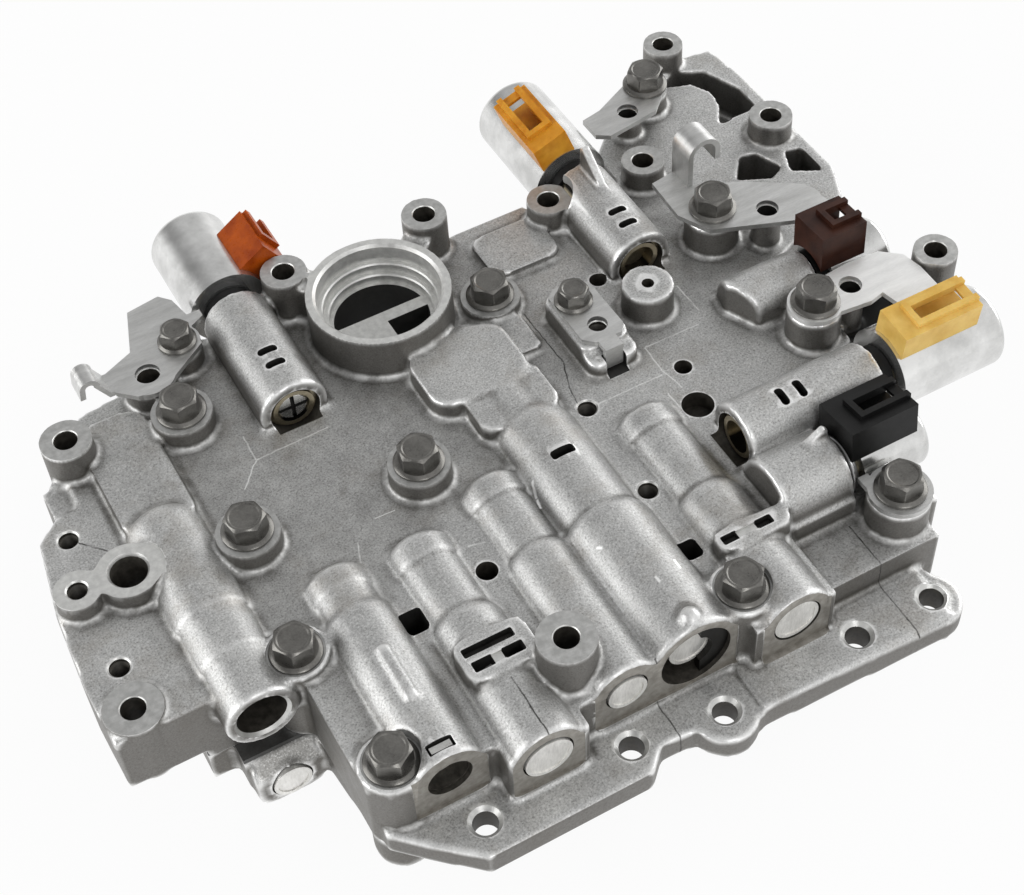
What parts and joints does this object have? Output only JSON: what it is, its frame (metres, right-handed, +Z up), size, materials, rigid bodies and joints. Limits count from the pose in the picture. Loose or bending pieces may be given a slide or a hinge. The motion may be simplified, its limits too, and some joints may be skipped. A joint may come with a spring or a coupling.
{
  "type": "transmission valve body",
  "caption": "Automatic transmission valve body: two aluminium castings with sprung spool valves, end plugs, five solenoids with coloured connectors, brackets and flange bolts.",
  "frame": {"origin": "on the face of the middle foot of the lower casting", "axes": "+X along the front flange to the right, +Y along the valve bores away from the flange, +Z up from the feet to the deck"},
  "size_m": [0.2689, 0.2234, 0.0704],
  "materials": {
    "cast_aluminium": "satin, as cast, machined on its pads",
    "cast_aluminium_lower": "satin, as cast, darker",
    "plate_steel": "satin",
    "bolt_steel": "dark satin",
    "spool_aluminium": "smooth",
    "spring_steel": "satin",
    "plug_aluminium": "turned",
    "keeper_steel": "satin",
    "nose_steel": "turned, a little browned",
    "can_steel": "pale, plated",
    "orange_plastic": "satin",
    "amber_plastic": "satin",
    "brown_plastic": "satin",
    "yellow_plastic": "satin",
    "black_plastic": "satin",
    "terminal_brass": "plated",
    "seal_rubber": "matt",
    "screw_steel": "turned",
    "sheet_steel": "pale, plated"
  },
  "bodies": {
    "valve_body": {"upper_casting": "cast_aluminium", "separator_plate": "plate_steel", "lower_casting": "cast_aluminium_lower", "flange_bolts": "bolt_steel", "small_bolts": "bolt_steel", "bracket_bolts": "bolt_steel", "spring_1": "spring_steel", "spring_2": "spring_steel", "spring_3": "spring_steel", "spring_4": "spring_steel", "spring_5": "spring_steel", "spring_6": "spring_steel", "plug_1": "plug_aluminium", "plug_2": "plug_aluminium", "plug_3": "plug_aluminium", "plug_4": "plug_aluminium", "plug_5": "plug_aluminium", "plug_6": "plug_aluminium", "keeper_1": "keeper_steel", "keeper_2": "keeper_steel", "keeper_4": "keeper_steel", "keeper_5": "keeper_steel", "nose_1": "nose_steel", "nose_2": "nose_steel", "nose_3": "nose_steel", "nose_4": "nose_steel", "nose_5": "nose_steel", "can_1": "can_steel", "can_2": "can_steel", "can_3": "can_steel", "can_4": "can_steel", "can_5": "can_steel", "connector_1": "orange_plastic", "connector_2": "amber_plastic", "connector_3": "brown_plastic", "connector_4": "yellow_plastic", "connector_5": "black_plastic", "terminals": "terminal_brass", "seal_rings": "seal_rubber", "spring_ring": "spring_steel", "adjuster_screw": "screw_steel", "left_bracket": "sheet_steel", "rear_bracket": "sheet_steel", "loop_bracket": "sheet_steel", "right_bracket": "sheet_steel", "front_bracket": "sheet_steel", "clip": "sheet_steel"},
    "valve_1": {"spool_1": "spool_aluminium"},
    "valve_2": {"spool_2": "spool_aluminium"},
    "valve_3": {"spool_3": "spool_aluminium"},
    "valve_4": {"spool_4": "spool_aluminium"},
    "valve_5": {"spool_5": "spool_aluminium"},
    "valve_6": {"spool_6": "spool_aluminium"}
  },
  "joints": [
    {"name": "valve_1_slide", "type": "slide", "parent": "valve_body", "child": "valve_1", "axis": [0, 1, 0], "range_m": [0, 0.005], "stiffness_N_per_m": 600, "springref_m": -0.003, "deforming": ["spring_1"]},
    {"name": "valve_2_slide", "type": "slide", "parent": "valve_body", "child": "valve_2", "axis": [0, 1, 0], "range_m": [0, 0.005], "stiffness_N_per_m": 600, "springref_m": -0.003, "deforming": ["spring_2"]},
    {"name": "valve_3_slide", "type": "slide", "parent": "valve_body", "child": "valve_3", "axis": [0, 1, 0], "range_m": [0, 0.005], "stiffness_N_per_m": 600, "springref_m": -0.003, "deforming": ["spring_3"]},
    {"name": "valve_4_slide", "type": "slide", "parent": "valve_body", "child": "valve_4", "axis": [0, 1, 0], "range_m": [0, 0.005], "stiffness_N_per_m": 600, "springref_m": -0.003, "deforming": ["spring_4"]},
    {"name": "valve_5_slide", "type": "slide", "parent": "valve_body", "child": "valve_5", "axis": [0, 1, 0], "range_m": [0, 0.005], "stiffness_N_per_m": 600, "springref_m": -0.003, "deforming": ["spring_5"]},
    {"name": "valve_6_slide", "type": "slide", "parent": "valve_body", "child": "valve_6", "axis": [0, 1, 0], "range_m": [0, 0.005], "stiffness_N_per_m": 600, "springref_m": -0.003, "deforming": ["spring_6"]}
  ]
}
